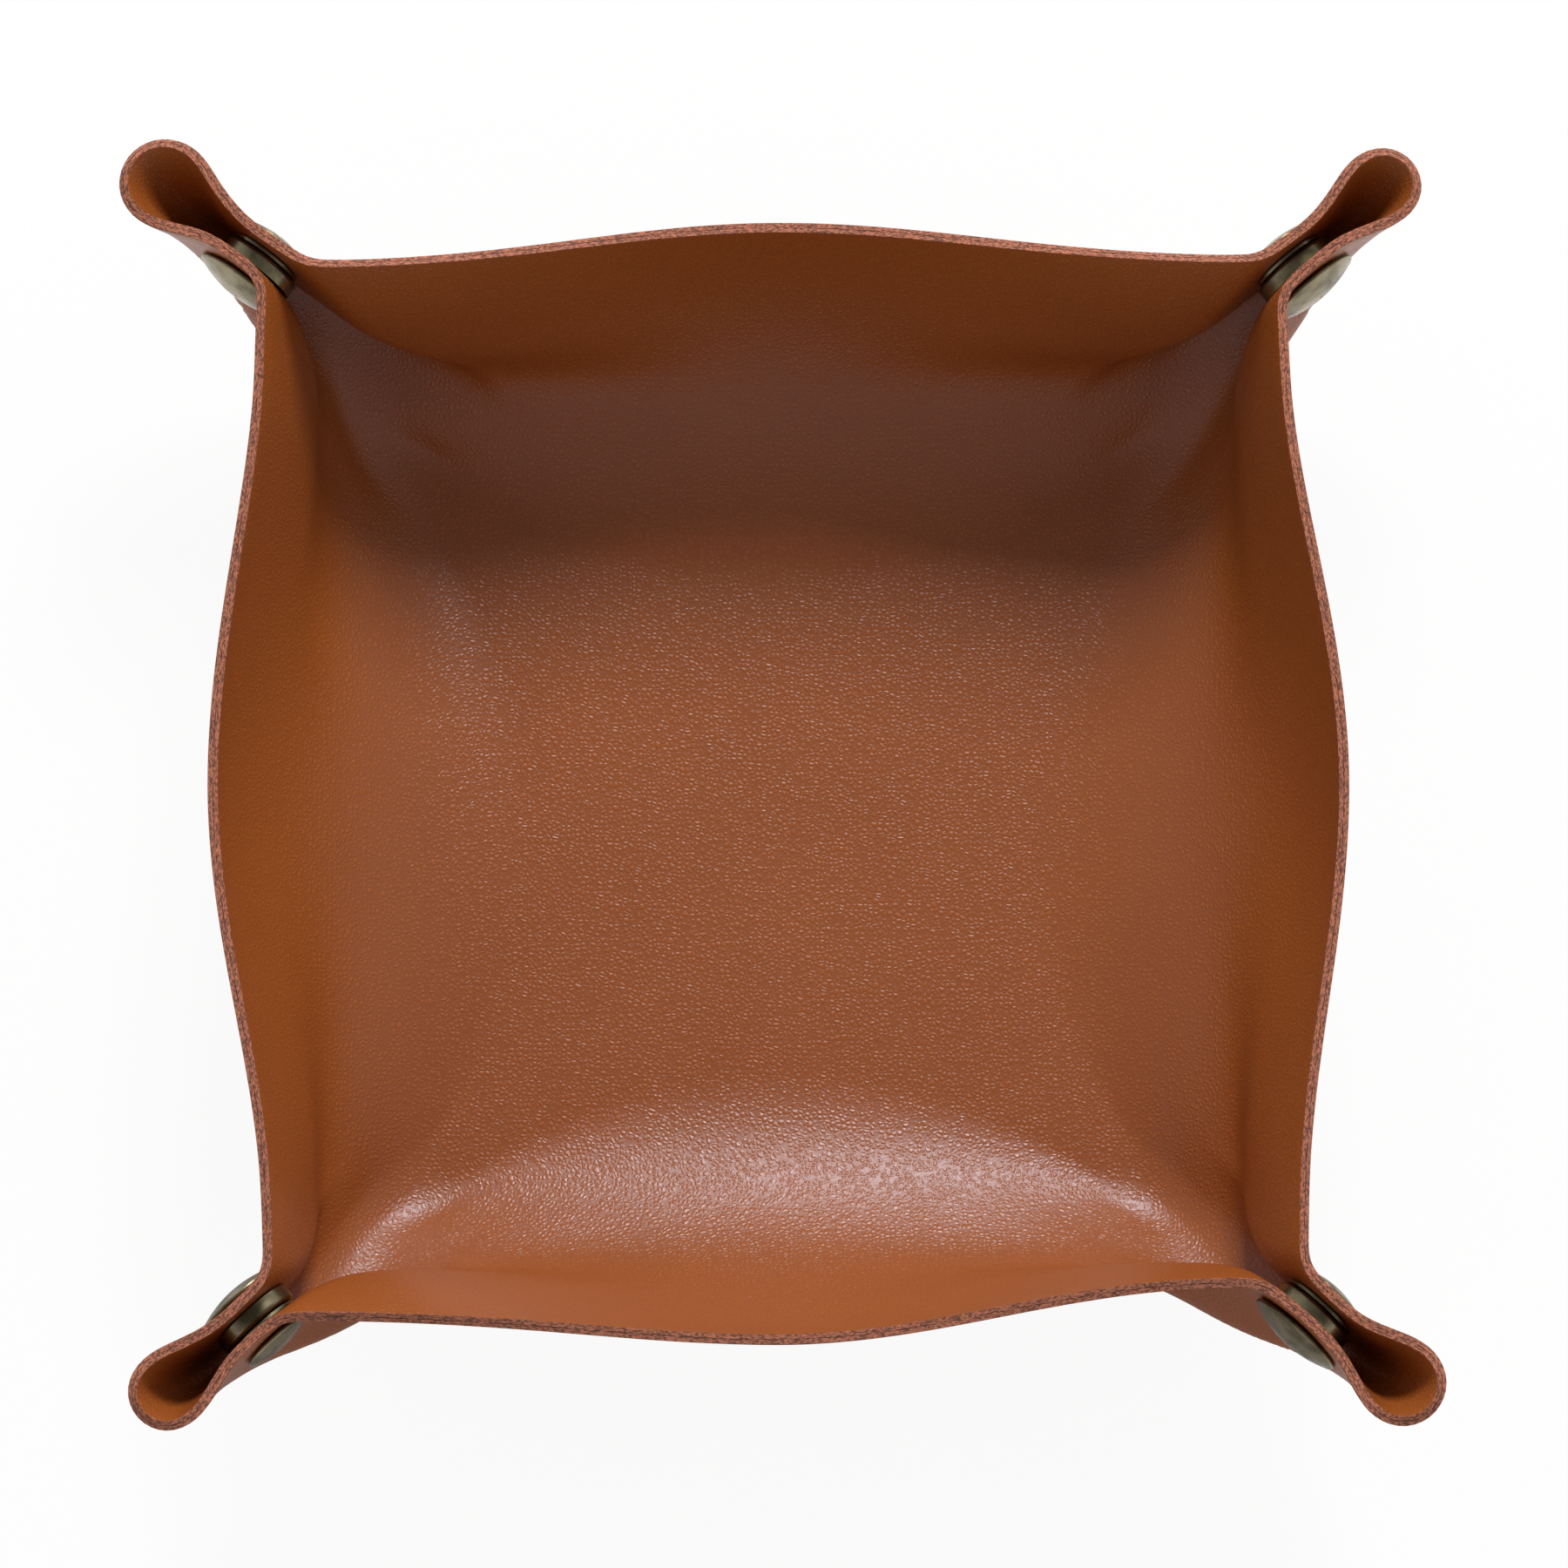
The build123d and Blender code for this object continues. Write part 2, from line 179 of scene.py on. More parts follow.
class LeatherSettings(bpy.types.PropertyGroup):
    """Sizes and colours of the leather sheet."""

    sheet_side: length("Sheet side", 0.2, "Side of the flat square before it is folded")
    ply: length("Ply", 0.00075, "Thickness of one of the two plies")
    middle_floor_half: length("Half floor", 0.0343, "From the middle to a wall's bend, at its middle")
    wall_bend: length("Wall bend", 0.0444, "Radius of the bend at the middle of a wall")
    wall_lean: angle("Wall lean", 83, "Angle of the wall from the floor at its middle")
    corner_floor_half: length("Corner floor", 0.0518, "From the middle to a wall's bend, by a corner")
    corner_bend: length("Corner bend", 0.013, "Radius of the bend beside a corner")
    corner_lean: angle("Corner lean", 84, "Angle of the wall from the floor beside a corner")
    rim_dip: length("Rim dip", 0.0018, "How far the rim dips at the middle of a wall")
    foot_rounding: length("Foot rounding", 0.012, "Radius of the floor's corners")
    neck_fillet: length("Neck fillet", 0.011, "Radius where the rim turns into an ear")
    neck_flare_power: amount("Neck flare", 3.5, "How late the neck opens towards the rim")
    snap_from_corner: length("Snap place", 0.026, "From the sheet's corner to the snap")
    leaf_gap: length("Leaf gap", 0.00242, "Half of the gap between an ear's two leaves at the snap")
    flat_leaf_share: amount("Flat leaf", 0.17, "A leaf's flat part, of the snap's place")
    longest_cut_share: amount("Longest cut", 0.45, "Most of a leaf that the neck's fillet may take")
    segments: IntProperty(name="Segments", description="Faces along a side of the sheet", default=200)
    arris: length("Arris", 0.00012, "Rounding of the cut edge")
    glue_line: length("Glue line", 0.00002, "Thickness of the line between the plies")
    dip_end_share: amount("Dip end", 0.6, "Where the rim's dip ends, of the snap's place")
    bend_start: length("Bend start", 0.0195, "Height from which a leaf follows its cap")
    bend_rise: amount("Bend rise", 200, "How fast a leaf follows its cap upwards, per metre")
    bend_run: amount("Bend run", 170, "How fast a wall follows its cap sideways, per metre")
    grain: length("Grain", 0.00068, "Width of one pebble of the grain")
    relief: length("Relief", 0.00005, "Height of the grain's relief")
    face_colour: colour("Face", (161, 86, 32), "Leather's tan face")
    # Painted shade: a darker colour for the valleys between the pebbles, where shade falls
    valley_shade_colour: colour("Valleys", (104, 50, 18), "Leather between the pebbles")
    gloss_colour: colour("Gloss", (238, 243, 255), "Tint of the leather's gloss")
    edge_colour: colour("Cut edge", (190, 116, 86), "Fibre of the cut edge")
    glue_colour: colour("Glue", (78, 34, 18), "Line between the two plies")
    fibre: length("Fibre", 0.0005, "Length of a fibre in the cut edge")


class SnapSettings(bpy.types.PropertyGroup):
    """Colours of the snaps."""

    brass: colour("Brass", (150, 141, 112), "Antique brass where it is rubbed bright")
    patina: colour("Patina", (92, 84, 62), "Dark film on the brass")
    wire: colour("Wire", (168, 166, 160), "Steel of the ring springs")


class StageSettings(bpy.types.PropertyGroup):
    """The camera, the light and the floor under the tray."""

    focal: amount("Focal length", 308.94, "Focal length in mm on a 36 mm sensor")
    tilt: angle("Tilt", 10.65, "Camera's tilt from straight above, towards the front")
    roll: angle("Roll", -0.32, "Camera's roll")
    distance: length("Distance", 1.885, "Camera's distance from its aim")
    aim: FloatVectorProperty(
        name="Aim",
        description="Where the camera looks",
        default=(0.00078, 0.0024, 0.0247),
        subtype="TRANSLATION",
    )
    key_elevation: angle("Key elevation", 40.5, "Main light's height above the horizon")
    key_turn: angle("Key turn", 9, "Main light's turn from straight behind, to the right")
    key_distance: length("Key distance", 1.5, "Main light's distance")
    key_size: length("Key size", 0.42, "Side of the main light")
    key_power: amount("Key power", 19.5, "Main light's power in watts")
    horizon_level: amount("Horizon level", 0.92, "Strength of the light from all round, low down")
    zenith_level: amount("Zenith level", 0.17, "Strength of the light from straight above")
    floor_half: length("Half floor", 2, "Half of the floor's side")
    floor_colour: colour("Floor", (250, 250, 250), "Floor's pale grey")
    floor_glow: amount("Floor glow", 0.93, "White that the floor adds to what the camera sees of it")


def settings(kind):
    return getattr(bpy.context.scene, kind)


def add_object(name, data):
    obj = bpy.data.objects.new(name, data)
    bpy.context.scene.collection.objects.link(obj)
    return obj


# Shader maths


class Value:
    """A shader value. Arithmetic on it adds Math nodes to its tree."""

    def __init__(self, tree, socket):
        self.tree = tree
        self.socket = socket

    def math(self, operation, *inputs):
        return self.tree.node("ShaderNodeMath", {"operation": operation}, inputs)

    def __add__(self, other):
        return self.math("ADD", self, other)

    def __radd__(self, other):
        return self.math("ADD", self, other)

    def __sub__(self, other):
        return self.math("SUBTRACT", self, other)

    def __rsub__(self, other):
        return self.math("SUBTRACT", other, self)

    def __mul__(self, other):
        return self.math("MULTIPLY", self, other)

    def __rmul__(self, other):
        return self.math("MULTIPLY", self, other)

    def __abs__(self):
        return self.math("ABSOLUTE", self)

    def step(self, low, high):
        """Smooth 0 to 1 as the value goes from low to high."""
        kind = {"interpolation_type": "SMOOTHSTEP"}
        values = {"Value": self, "From Min": low, "From Max": high}
        return self.tree.node("ShaderNodeMapRange", kind, values)


class Tree:
    """A node tree in the making."""

    def __init__(self, owner):
        owner.use_nodes = True
        self.nodes = owner.node_tree.nodes
        self.links = owner.node_tree.links

    def node(self, kind, choices=None, inputs=(), output=0):
        """Adds a node with its settings first, then the values or links of its sockets."""
        made = self.nodes.new(kind)
        for key, value in (choices or {}).items():
            setattr(made, key, value)
        for key, value in inputs.items() if isinstance(inputs, dict) else enumerate(inputs):
            self.put(made.inputs[key], value)
        return Value(self, made.outputs[output])

    def put(self, socket, value):
        if isinstance(value, Value):
            self.links.new(value.socket, socket)
        elif socket.type == "RGBA" and len(value) == 3:
            socket.default_value = (*value, 1)
        else:
            socket.default_value = value

    def mix(self, factor, low, high):
        """A colour between two."""
        return self.node("ShaderNodeMix", {"data_type": "RGBA"}, {0: factor, 6: low, 7: high}, 2)

    def mix_shader(self, factor, low, high):
        return self.node("ShaderNodeMixShader", None, [factor, low, high])

    def place(self):
        return self.node("ShaderNodeTexCoord", output="Object")

    def seen(self):
        """1 for what the camera sees itself, and 0 for light that bounces."""
        return self.node("ShaderNodeLightPath", output="Is Camera Ray")

    def noise(self, place, size, detail, output=0):
        values = {"Vector": place, "Scale": 1 / size, "Detail": detail}
        return self.node("ShaderNodeTexNoise", None, values, output)

    def vector_math(self, operation, *inputs):
        return self.node("ShaderNodeVectorMath", {"operation": operation}, inputs)


class Finish(Tree):
    """A material in the making, on one Principled shader."""

    def __init__(self, name, **constants):
        self.material = bpy.data.materials.new(name)
        super().__init__(self.material)
        self.set(**constants)

    def set(self, **values):
        """Sets or links the shader's sockets, and gives the material."""
        for socket, value in values.items():
            self.put(self.nodes["Principled BSDF"].inputs[socket.replace("_", " ")], value)
        return self.material


def leather_finish(name):
    """Pebbled tan leather, with its fibrous cut edge where the depth attribute says so."""
    leather = settings("leather")
    grain = leather.grain
    finish = Finish(name, Specular_Tint=leather.gloss_colour, Specular_IOR_Level=LEATHER_SPECULAR)
    place = finish.place()
    drift = finish.noise(place, grain / DRIFT_RATE, 1, output="Color")
    shift = finish.vector_math("MULTIPLY", drift, (DRIFT_REACH * grain,) * 3)
    warped = finish.vector_math("ADD", place, shift)
    spread = {"Vector": warped, "Scale": 1 / grain, "Randomness": PEBBLE_RANDOMNESS}
    cells = finish.node("ShaderNodeTexVoronoi", {"feature": "DISTANCE_TO_EDGE"}, spread)
    pebble = cells.step(*PEBBLE_LEVELS)
    fine = finish.noise(place, grain * FINE_GRAIN_SHARE, 3)
    blotch = finish.noise(place, BLOTCH_SIZE, 3)
    depth = finish.node("ShaderNodeAttribute", {"attribute_name": "depth"}, output="Fac")
    from_glue = abs(depth - GLUE_DEPTH)
    skin = from_glue.step(*SKIN_LEVELS)
    glue = 1 - from_glue.step(*GLUE_LEVELS)
    across = depth * (FIBRE_PLIES * leather.ply)
    strands = {"Vector": place, "W": across, "Scale": 1 / leather.fibre, "Detail": 3}
    fibre = finish.node("ShaderNodeTexNoise", {"noise_dimensions": "4D"}, strands)
    broken = finish.noise(place, GLUE_GAP_SIZE, 2).step(*GLUE_GAP_LEVELS)

    # Painted shade: the face colour is darkened in the valleys between the pebbles, where shade falls
    bright = VALLEY_SHADE_TONE + (1 - VALLEY_SHADE_TONE) * pebble
    face = finish.mix(bright, leather.valley_shade_colour, leather.face_colour)
    tone = {"Value": DARKEST_BLOTCH + BLOTCH_RANGE * blotch, "Color": face}
    shade = finish.node("ShaderNodeHueSaturation", None, tone)
    dark_fibre = [DARK_FIBRE_SHARE * part for part in leather.edge_colour]
    edge = finish.mix(fibre.step(*FIBRE_LEVELS), dark_fibre, leather.edge_colour)
    lined = finish.mix(glue * broken, edge, leather.glue_colour)
    height = skin * (pebble + FINE_HEIGHT * fine) + (1 - skin) * (fibre * FIBRE_HEIGHT)
    smooth = SKIN_ROUGHNESS + FINE_ROUGHNESS * fine - PEBBLE_SMOOTHNESS * pebble
    return finish.set(
        Base_Color=finish.mix(skin, lined, shade),
        Roughness=skin * smooth + (1 - skin) * EDGE_ROUGHNESS,
        Normal=finish.node("ShaderNodeBump", None, {"Distance": leather.relief, "Height": height}),
    )


def brass_finish():
    """Antique brass: a dark film, rubbed bright in places, with a fine unevenness."""
    snap = settings("snap")
    finish = Finish("antique_brass", Metallic=1)
    place = finish.place()
    film = finish.noise(place, FILM_SIZE, 4).step(*FILM_LEVELS)
    fine = finish.noise(place, BRASS_FINE_SIZE, 3)
    return finish.set(
        Base_Color=finish.mix(film, snap.brass, snap.patina),
        Roughness=BRASS_ROUGHNESS + FILM_ROUGHNESS * film + BRASS_FINE_ROUGHNESS * fine,
    )


def wire_finish():
    """Drawn steel wire."""
    finish = Finish("spring_wire", Metallic=1, Base_Color=settings("snap").wire)
    fine = finish.noise(finish.place(), WIRE_FINE_SIZE, 3)
    return finish.set(Roughness=WIRE_ROUGHNESS + WIRE_FINE_ROUGHNESS * fine)


# The folded sheet


def slopes_of(knots, values, start=None, end=None):
    """Slopes of a cubic spline through values at knots; those at its ends are given or natural."""
    count = len(knots)
    steps = np.diff(knots)
    flat = values.reshape(count, -1)
    rises = np.diff(flat, axis=0) / steps[:, None]
    left = np.zeros((count, count))
    right = np.zeros_like(flat)
    for i in range(1, count - 1):
        left[i, i - 1 : i + 2] = steps[i], 2 * (steps[i - 1] + steps[i]), steps[i - 1]
        right[i] = 3 * (steps[i] * rises[i - 1] + steps[i - 1] * rises[i])
    left[0, :2] = (2, 1) if start is None else (1, 0)
    right[0] = 3 * rises[0] if start is None else np.ravel(start)
    left[-1, -2:] = (1, 2) if end is None else (0, 1)
    right[-1] = 3 * rises[-1] if end is None else np.ravel(end)
    return np.linalg.solve(left, right).reshape(values.shape)


def spline_at(knots, values, slopes, places, own=()):
    """Points of a spline at places; own picks each place's own column, where there are several."""
    k = np.clip(np.searchsorted(knots, places, side="right") - 1, 0, len(knots) - 2)
    step = (knots[k + 1] - knots[k])[:, None]
    t = (places - knots[k])[:, None] / step
    low, high = (k, *own), (k + 1, *own)
    return (
        values[low] * (1 + 2 * t) * (1 - t) ** 2
        + slopes[low] * step * t * (1 - t) ** 2
        + values[high] * t * t * (3 - 2 * t)
        + slopes[high] * step * t * t * (t - 1)
    )


class Fold:
    """Where each point of the flat sheet lies once it is folded: the glue line between the plies."""

    def __init__(self, leather):
        self.leather = leather
        self.half = leather.sheet_side / 2
        self.lean = leather.wall_lean
        self.bend_length = leather.wall_bend * self.lean
        flat = self.half - leather.middle_floor_half - self.bend_length
        self.bend_height = leather.wall_bend * (1 - cos(self.lean))
        self.side_height = self.bend_height + flat * sin(self.lean)
        self.rim_height = self.side_height + leather.rim_dip
        self.rim_half = self.middle_at(self.rim_height)

    def wall_out(self, height, bend, lean):
        """How far a wall has gone out from the start of its bend at a height."""
        bend_top = bend * (1 - cos(lean))
        if height < bend_top:
            return bend * sin(acos(1 - height / bend))
        return bend * sin(lean) + (height - bend_top) / tan(lean)

    def middle_at(self, height):
        """How far out the middle of a wall is at a height."""
        leather = self.leather
        return leather.middle_floor_half + self.wall_out(height, leather.wall_bend, self.lean)

    def way_up(self, heights):
        """Length along the leather at a wall's middle, from the start of the bend to each height."""
        bend = self.leather.wall_bend
        low = bend * np.arccos(np.clip(1 - heights / bend, -1, 1))
        high = self.bend_length + (heights - self.bend_height) / sin(self.lean)
        return np.where(heights < self.bend_height, low, high)

    def height_at(self, ways):
        """The height after each length along the leather: the reverse of way_up."""
        bend = self.leather.wall_bend
        low = bend * (1 - np.cos(ways / bend))
        high = self.bend_height + (ways - self.bend_length) * sin(self.lean)
        return np.where(ways < self.bend_length, low, high)

    def neck_at(self, height, drawn_in):
        """How far out a wall is beside a corner, at a height."""
        leather = self.leather
        start = leather.corner_floor_half
        plain = start + self.wall_out(height, leather.corner_bend, leather.corner_lean)
        plain_rim = start + self.wall_out(self.rim_height, leather.corner_bend, leather.corner_lean)
        late = (height / self.rim_height) ** leather.neck_flare_power
        return plain + (self.rim_half - drawn_in - plain_rim) * late

    def seat(self, name):
        """The snap's place in the first quadrant."""
        across, along = CORNER_SHARES[name][:2]
        place = self.leather.snap_from_corner
        return self.rim_half - across * place, self.rim_half - along * place

    def half_section(self, shares, seat, reach, nose, neck_in, turn):
        """Points of a section from the middle of the x wall to the ear's tip."""
        height = shares[0] * self.rim_height
        neck, other_neck = (self.neck_at(height, drawn_in) for drawn_in in neck_in)
        bulge = self.middle_at(height) - neck
        if len(shares) == 2:
            corner = self.foot(shares[1] * self.leather.foot_rounding, neck, other_neck)
            wall = [(neck, corner[0][1] * share) for share in WALL_PLACE_SHARES]
            tip = corner[-1][1]
            return [(x + bulge * (1 - (y / tip) ** 2), y) for x, y in wall + corner]
        corner = self.ear(shares, seat, reach, nose, turn, neck)
        wall = []
        for share in WALL_PLACE_SHARES:
            wall.append((neck + bulge * (1 + cos(pi * share)) / 2, corner[0][1] * share))
        return wall + corner

    def foot(self, radius, neck, other_neck):
        """A corner of the floor, up to the middle of its round."""
        centre = (neck - radius, other_neck - radius)
        lead = [(neck, centre[1] - radius * share) for share in FOOT_LEAD_SHARES]
        turns = [share * pi / 4 for share in FOOT_TURN_SHARES]
        return lead + [(centre[0] + radius * cos(t), centre[1] + radius * sin(t)) for t in turns]

    def ear(self, shares, seat, reach, nose_radius, turn, neck):
        """Neck fillet, leaf, nose and tip of an ear."""
        leather = self.leather
        along = (cos(turn), sin(turn))
        out = (sin(turn), -cos(turn))
        nose = shares[2] * nose_radius
        nose_centre = shares[1] * reach - nose
        leaf = shares[3] * leather.leaf_gap
        fillet = shares[4] * leather.neck_fillet
        knee = (neck - seat[0] - leaf * out[0]) / cos(turn)
        nose_turn, leaf_turn = pi / 2, 0
        if nose <= leaf:
            to_knee = hypot(knee - nose_centre, leaf)
            nose_turn = min(atan2(leaf, knee - nose_centre) - acos(nose / to_knee), pi / 2)
            leaf_turn = pi / 2 - nose_turn
        nose_end = (nose_centre + nose * cos(nose_turn), nose * sin(nose_turn))
        bent = pi / 2 - turn - leaf_turn
        leaf_length = hypot(nose_end[0] - knee, nose_end[1] - leaf)
        cut = min(fillet * tan(bent / 2), leaf_length * leather.longest_cut_share)
        start = (knee + cut * cos(leaf_turn), leaf - cut * sin(leaf_turn))
        inward = leaf_turn + bent / 2 + pi / 2
        sag = cut * tan(bent / 4)
        local = [
            (knee - cut * sin(turn), leaf + cut * cos(turn)),
            (knee + sag * cos(inward), leaf + sag * sin(inward)),
            start,
        ]
        flat_end = leather.flat_leaf_share * leather.snap_from_corner
        for share in LEAF_PLACE_SHARES:
            place = start[0] + (nose_end[0] - start[0]) * share
            rise = share
            if nose > leaf:
                rise = min(max((place - flat_end) / (nose_end[0] - flat_end), 0), 1)
                rise = rise * rise * (3 - 2 * rise)
            local.append((place, start[1] + (nose_end[1] - start[1]) * rise))
        local.append(nose_end)
        local.append((nose_centre + nose * cos(nose_turn / 2), nose * sin(nose_turn / 2)))
        local.append((nose_centre + nose, 0))
        return [tuple(seat[k] + p * along[k] + q * out[k] for k in (0, 1)) for p, q in local]

    def section(self, name, shares):
        """One section of a corner, from the middle of the x wall to the middle of the y wall."""
        corner = CORNER_SHARES[name]
        place = self.leather.snap_from_corner
        seat = self.seat(name)
        reach, nose = corner[2] * place, corner[3] * place
        neck_in = (corner[4] * place, corner[5] * place)
        turn = radians(corner[6])
        x_side = self.half_section(shares, seat, reach, nose, neck_in, turn)
        y_side = self.half_section(shares, seat[::-1], reach, nose, neck_in[::-1], pi / 2 - turn)
        return np.array(x_side + [(y, x) for x, y in reversed(y_side[:-1])])

    def place(self, name, x_side, reaches, shares):
        """Folded places, in the first quadrant, of points on one wall's side of a corner.

        A point is given by its reach from the sheet's middle and its share of the way from the
        wall's middle to the crease, which is the sheet's diagonal.
        """
        leather = self.leather
        sections = FOOT_SHARES + EAR_SHARES
        table = []
        for section in sections:
            points = self.section(name, section)
            knots = np.concatenate([[0], np.cumsum(np.hypot(*np.diff(points, axis=0).T))])
            slopes = slopes_of(knots, points, (0, 1), (-1, 0))
            tip = knots[len(knots) // 2]
            along = shares * tip if x_side else knots[-1] - shares * (knots[-1] - tip)
            table.append(spline_at(knots, points, slopes, along))
        table = np.array(table)
        heights = np.array([section[0] for section in sections]) * self.rim_height
        knots = self.way_up(heights)
        slopes = slopes_of(knots, table)
        ways = reaches - leather.middle_floor_half
        dip_half = self.rim_half - leather.dip_end_share * leather.snap_from_corner
        dips = np.sin(np.minimum(shares * self.half / dip_half, 1) * pi / 2) ** 2
        height = self.height_at(np.maximum(ways, 0)) * (1 + dips * leather.rim_dip / self.side_height)
        across = spline_at(knots, table, slopes, self.way_up(height), (np.arange(len(shares)),))
        floor = table[0] * (1 + ways / leather.middle_floor_half)[:, None]
        across = np.where(ways[:, None] < 0, floor, across)
        return np.column_stack([across, leather.ply + height])


def crease_of(bm):
    """The vertices on the sheet's diagonals, where it creases."""
    flat = bm.verts.layers.float_vector["flat"]
    return [vertex for vertex in bm.verts if abs(vertex[flat].x) == abs(vertex[flat].y)]


def folded_grid(leather):
    """The sheet's grid at its folded place. Each vertex keeps its steps from the sheet's middle."""
    fold = Fold(leather)
    count = leather.segments
    middle = count // 2
    bm = bmesh.new()
    bmesh.ops.create_grid(bm, x_segments=count, y_segments=count, size=fold.half)
    flat = bm.verts.layers.float_vector.new("flat")
    steps = np.round(np.array([vertex.co[:2] for vertex in bm.verts]) / fold.half * middle)
    rings = np.abs(steps).max(1)
    shares = np.abs(steps).min(1) / np.maximum(rings, 1)
    reaches = rings * (fold.half - leather.arris) / (middle - 1)
    reaches[rings == middle] = fold.half
    places = np.zeros((len(steps), 3))
    for name, signs in CORNERS.items():
        inside = (steps * signs >= 0).all(1)
        for x_side in (True, False):
            chosen = inside & ((np.abs(steps[:, 0]) >= np.abs(steps[:, 1])) == x_side)
            found = fold.place(name, x_side, reaches[chosen], shares[chosen])
            places[chosen] = found * (*signs, 1)
    for vertex, place, step in zip(bm.verts, places, steps):
        vertex.co = place
        vertex[flat] = (*step, 0)
    bmesh.ops.connect_verts(bm, verts=crease_of(bm))
    bmesh.ops.recalc_face_normals(bm, faces=bm.faces)
    if sum(face.normal.z for face in bm.faces) < 0:
        bmesh.ops.reverse_faces(bm, faces=bm.faces)
    bm.normal_update()
    return bm, fold


def mark_edge(bm):
    """Stores on each vertex its surface normal and, at the rim, the way out of the sheet's edge."""
    surface = bm.verts.layers.float_vector.new("surface")
    outward = bm.verts.layers.float_vector.new("outward")
    rim = bm.verts.layers.int.new("rim")
    for vertex in bm.verts:
        vertex[surface] = vertex.normal
        if not vertex.is_boundary:
            continue
        vertex[rim] = 1
        along = Vector()
        for loop in vertex.link_loops:
            before = loop.link_loop_prev
            if loop.edge.is_boundary:
                along += (loop.link_loop_next.vert.co - vertex.co).normalized()
            if before.edge.is_boundary:
                along += (vertex.co - before.vert.co).normalized()
        vertex[outward] = along.cross(vertex.normal).normalized()
    return surface, rim


class EarBend:
    """How the leaf with the cap follows it, with a part at the wall and one at the tip."""

    def __init__(self, leather, fold, name, crease):
        self.name = name
        signs = CORNERS[name]
        seat = fold.seat(name)
        turn = radians(CORNER_SHARES[name][6])
        self.seat = Vector((seat[0] * signs[0], seat[1] * signs[1], leather.bend_start))
        self.along = Vector((cos(turn) * signs[0], sin(turn) * signs[1], 0))
        slopes = []
        for point in crease:
            way = point - self.seat
            if point.x * signs[0] > 0 < point.y * signs[1] and way.dot(self.along) > leather.ply:
                slopes.append(way.z / way.dot(self.along))
        up = Vector((0, 0, leather.bend_rise))
        self.tip_slope = up - self.along * leather.bend_rise * max(slopes)
        self.wall_slope = up + self.along * leather.bend_run

    def beyond(self, point):
        """How far a point lies beyond the snap, along the ear."""
        return (point - self.seat).dot(self.along)

    def share(self, point):
        """How much a point follows the cap: 0 or less not at all, 1 or more wholly."""
        slope = self.tip_slope if self.beyond(point) > 0 else self.wall_slope
        return (point - self.seat).dot(slope)

    def ends(self, slope):
        """Where the bend starts and where it is whole."""
        return self.seat, self.seat + slope / slope.length_squared


# Numbers of the faces that follow a corner's cap. The faces that stay have 0.


def wall_owner(corner):
    return 2 * corner + 1


def tip_owner(corner):
    return 2 * corner + 2


def mark_owners(bm, leather, bends):
    """Numbers the faces that follow a cap, and marks the seam between the wall's part and the tip."""
    flat = bm.verts.layers.float_vector["flat"]
    owner = bm.faces.layers.int.new("owner")
    seam = bm.verts.layers.int.new("seam")
    groups = [[] for _ in bends]
    for face in bm.faces:
        if face.verts[0].co.z < LOW_SHARE * leather.bend_start:
            continue
        step = sum((vertex[flat] for vertex in face.verts), Vector())
        number = CORNER_AT[step.x > 0, step.y > 0]
        bend = bends[number]
        if (abs(step.x) > abs(step.y)) != CAP_ON_X_WALL[bend.name]:
            continue
        if any(bend.share(vertex.co) > BEND_FROM_SHARE for vertex in face.verts):
            face[owner] = wall_owner(number)
            groups[number].append(face)
    for number, (bend, faces) in enumerate(zip(bends, groups)):
        edges = {edge for face in faces for edge in face.edges}
        verts = {vertex for face in faces for vertex in face.verts}
        cut = bmesh.ops.bisect_plane(
            bm,
            geom=[*verts, *edges, *faces],
            dist=leather.arris * CUT_NEAR_SHARE,
            plane_co=bend.seat,
            plane_no=bend.along,
        )
        for item in cut["geom_cut"]:
            if isinstance(item, bmesh.types.BMVert):
                item[seam] = number + 1
        for face in bm.faces:
            if face[owner] == wall_owner(number) and bend.beyond(face.calc_center_median()) > 0:
                face[owner] = tip_owner(number)


def make_ply(leather, side):
    """A closed ply on the folded grid: side 1 lines the tray and -1 is the ply underneath."""
    bm, fold = folded_grid(leather)
    surface, rim = mark_edge(bm)
    crease = [vertex.co.copy() for vertex in crease_of(bm)]
    bends = [EarBend(leather, fold, corner, crease) for corner in CORNERS]
    mark_owners(bm, leather, bends)
    owner = bm.faces.layers.int["owner"]
    seam = bm.verts.layers.int["seam"]
    depth = bm.verts.layers.float.new("depth")
    kind = bm.faces.layers.int.new("kind")
    for face in bm.faces:
        face[kind] = KIND_ARRIS if any(vertex[rim] for vertex in face.verts) else KIND_SKIN
    glue = set(bm.faces)
    whole = [*bm.verts, *bm.edges, *bm.faces]
    made = bmesh.ops.extrude_face_region(bm, geom=whole, use_keep_orig=True)["geom"]
    skin = {item for item in made if isinstance(item, (bmesh.types.BMVert, bmesh.types.BMFace))}
    for face in bm.faces:
        if face in glue:
            face[kind] = KIND_GLUE
        elif face not in skin:
            face[kind] = KIND_EDGE
            beside = (other for edge in face.edges for other in edge.link_faces)
            face[owner] = next(other[owner] for other in beside if other in glue)
    for vertex in bm.verts:
        offset = leather.glue_line / 2
        vertex[depth] = GLUE_DEPTH
        if vertex in skin:
            offset = leather.ply - (leather.arris if vertex[rim] else 0)
            vertex[depth] = GLUE_DEPTH * (1 + side * offset / leather.ply)
        vertex.co += side * offset * vertex[surface]
        if vertex[seam]:
            bend = bends[vertex[seam] - 1]
            vertex.co -= bend.along * bend.beyond(vertex.co)
    bmesh.ops.recalc_face_normals(bm, faces=bm.faces)
    return bm, bends


